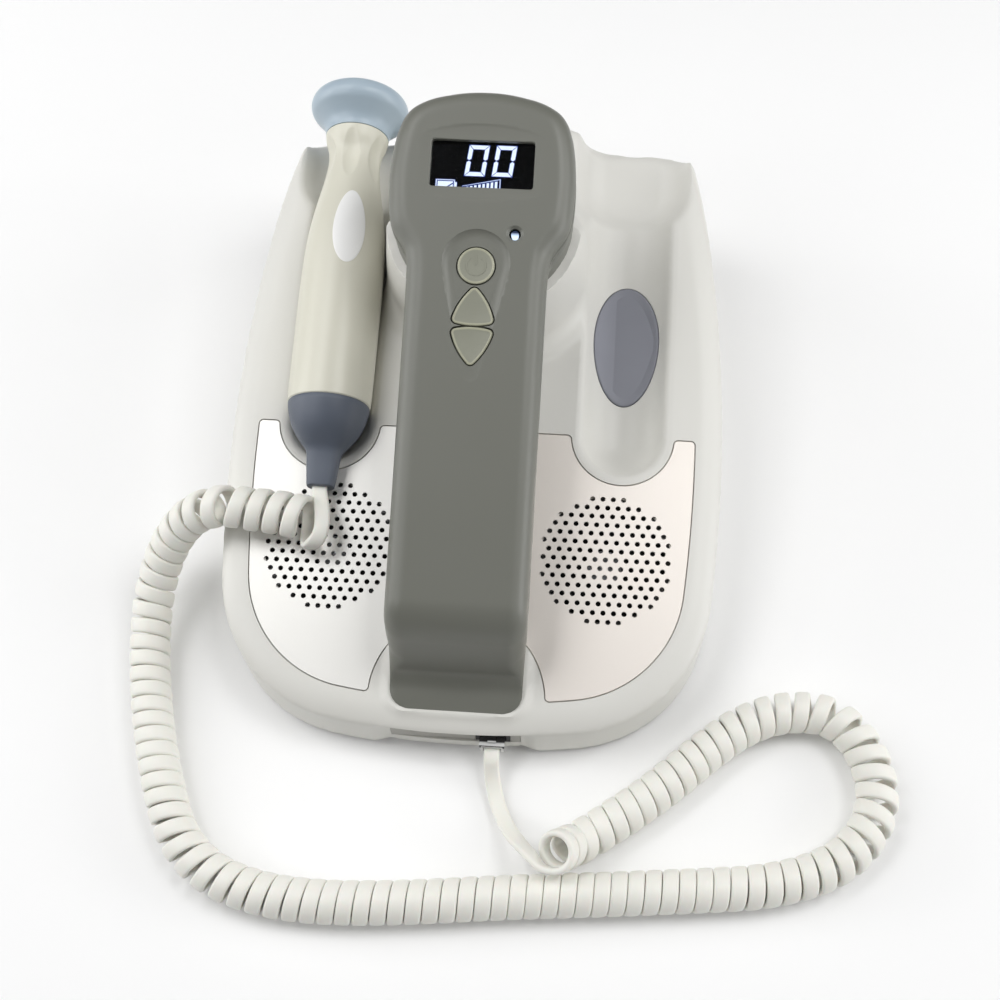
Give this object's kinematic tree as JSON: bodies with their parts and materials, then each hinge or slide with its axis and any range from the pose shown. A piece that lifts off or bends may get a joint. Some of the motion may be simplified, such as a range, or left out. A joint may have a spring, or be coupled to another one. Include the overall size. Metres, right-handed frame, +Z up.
{
  "type": "fetal doppler monitor",
  "caption": "Table-top fetal heartbeat monitor: wedge base with speaker grilles, carrying handle with display and keys, a hand probe in a side trough and its curly cord.",
  "frame": {"origin": "on the table, under the middle of the monitor without its cord", "axes": "+X to the right as the user faces the display, +Y to the rear where the display is, +Z up"},
  "size_m": [0.301, 0.3291, 0.1386],
  "materials": {
    "base_plastic": "fine satin",
    "handle_plastic": "satin",
    "battery_wrap": "shrink film",
    "steel": "plated",
    "dark_rubber": "matte",
    "grille_silver": "satin",
    "grille_champagne": "satin",
    "cone_paper": "paper",
    "magnet": "bare",
    "blue_grey_rubber": "matte",
    "blue_grey_plastic": "satin",
    "panel_metal": "satin",
    "black_plastic": "matte",
    "circuit_board": "solder mask",
    "lens": "polished",
    "display": "glass face",
    "clear_plastic": "clear",
    "ribbon": "film",
    "key_rubber": "satin",
    "ceramic": "sintered",
    "probe_plastic": "satin",
    "label_film": "printed film",
    "cord_jacket": "satin",
    "contact_metal": "gold plated"
  },
  "bodies": {
    "base": {"base_bottom_cover": "base_plastic", "base_screws": "steel", "base_top_cover": "base_plastic", "battery_door": "base_plastic", "battery_pack": "battery_wrap", "board_components": "black_plastic", "connector_panel": "panel_metal", "curly_cord": "cord_jacket", "display_board": "circuit_board", "display_lens": "lens", "grille_plate_left": "grille_silver", "grille_plate_right": "grille_champagne", "handle_bottom_cover": "handle_plastic", "handle_screws": "steel", "handle_top_cover": "handle_plastic", "key_switches": "black_plastic", "lcd_module": "display", "light_pipe": "clear_plastic", "main_board": "circuit_board", "probe_jack": "black_plastic", "ribbon_cable": "ribbon", "rubber_feet": "dark_rubber", "speaker_cone_left": "cone_paper", "speaker_cone_right": "cone_paper", "speaker_frame_left": "steel", "speaker_frame_right": "steel", "speaker_magnet_left": "magnet", "speaker_magnet_right": "magnet", "status_lamp": "clear_plastic", "trough_pad_left": "blue_grey_rubber", "trough_pad_right": "blue_grey_rubber"},
    "power_key": {"power_button": "key_rubber"},
    "up_key": {"up_button": "key_rubber"},
    "down_key": {"down_button": "key_rubber"},
    "probe": {"probe_cap": "blue_grey_plastic", "transducer_crystals": "ceramic", "probe_body": "probe_plastic", "probe_board": "circuit_board", "probe_boot": "blue_grey_rubber", "probe_label": "label_film"},
    "plug": {"cord_plug": "clear_plastic", "plug_contacts": "contact_metal", "plug_lead": "cord_jacket"}
  },
  "joints": [
    {"name": "power_press", "type": "slide", "parent": "base", "child": "power_key", "axis": [0, 0.3746, -0.9272], "range_m": [0, 0.0004], "stiffness_N_per_m": 900, "springref_m": -0.0005},
    {"name": "up_press", "type": "slide", "parent": "base", "child": "up_key", "axis": [0, 0.3746, -0.9272], "range_m": [0, 0.0004], "stiffness_N_per_m": 900, "springref_m": -0.0005},
    {"name": "down_press", "type": "slide", "parent": "base", "child": "down_key", "axis": [0, 0.3746, -0.9272], "range_m": [0, 0.0004], "stiffness_N_per_m": 900, "springref_m": -0.0005},
    {"name": "probe_lift", "type": "slide", "parent": "base", "child": "probe", "axis": [0, -0.2079, 0.9781], "range_m": [0, 0.06]},
    {"name": "plug_pull", "type": "slide", "parent": "base", "child": "plug", "axis": [0, -1, 0], "range_m": [0, 0.008]}
  ]
}
